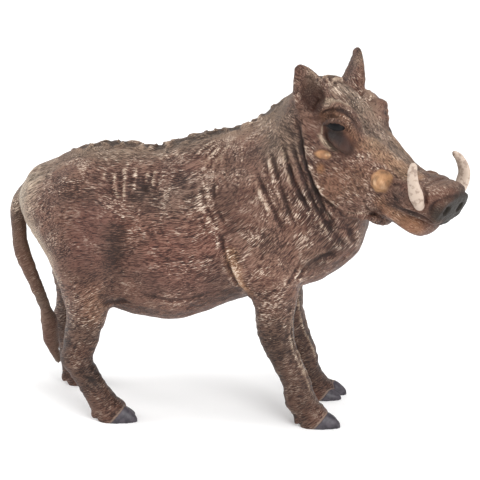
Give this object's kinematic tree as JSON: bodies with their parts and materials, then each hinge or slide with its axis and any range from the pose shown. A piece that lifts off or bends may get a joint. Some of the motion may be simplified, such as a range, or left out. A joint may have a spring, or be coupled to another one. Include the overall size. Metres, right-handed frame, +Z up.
{
  "type": "animal figurine",
  "caption": "Moulded and painted warthog figure standing on all four hooves, head turned to its right, with curved tusks, cheek warts and a hanging tufted tail.",
  "frame": {"origin": "on the ground, under the middle of the figure's bounding box", "axes": "+X from the rump towards the head, +Y towards the animal's left side, +Z up"},
  "size_m": [0.103, 0.0452, 0.0843],
  "materials": {
    "painted_vinyl": "satin"
  },
  "bodies": {
    "root": {"warthog_figure": "painted_vinyl"}
  },
  "joints": []
}
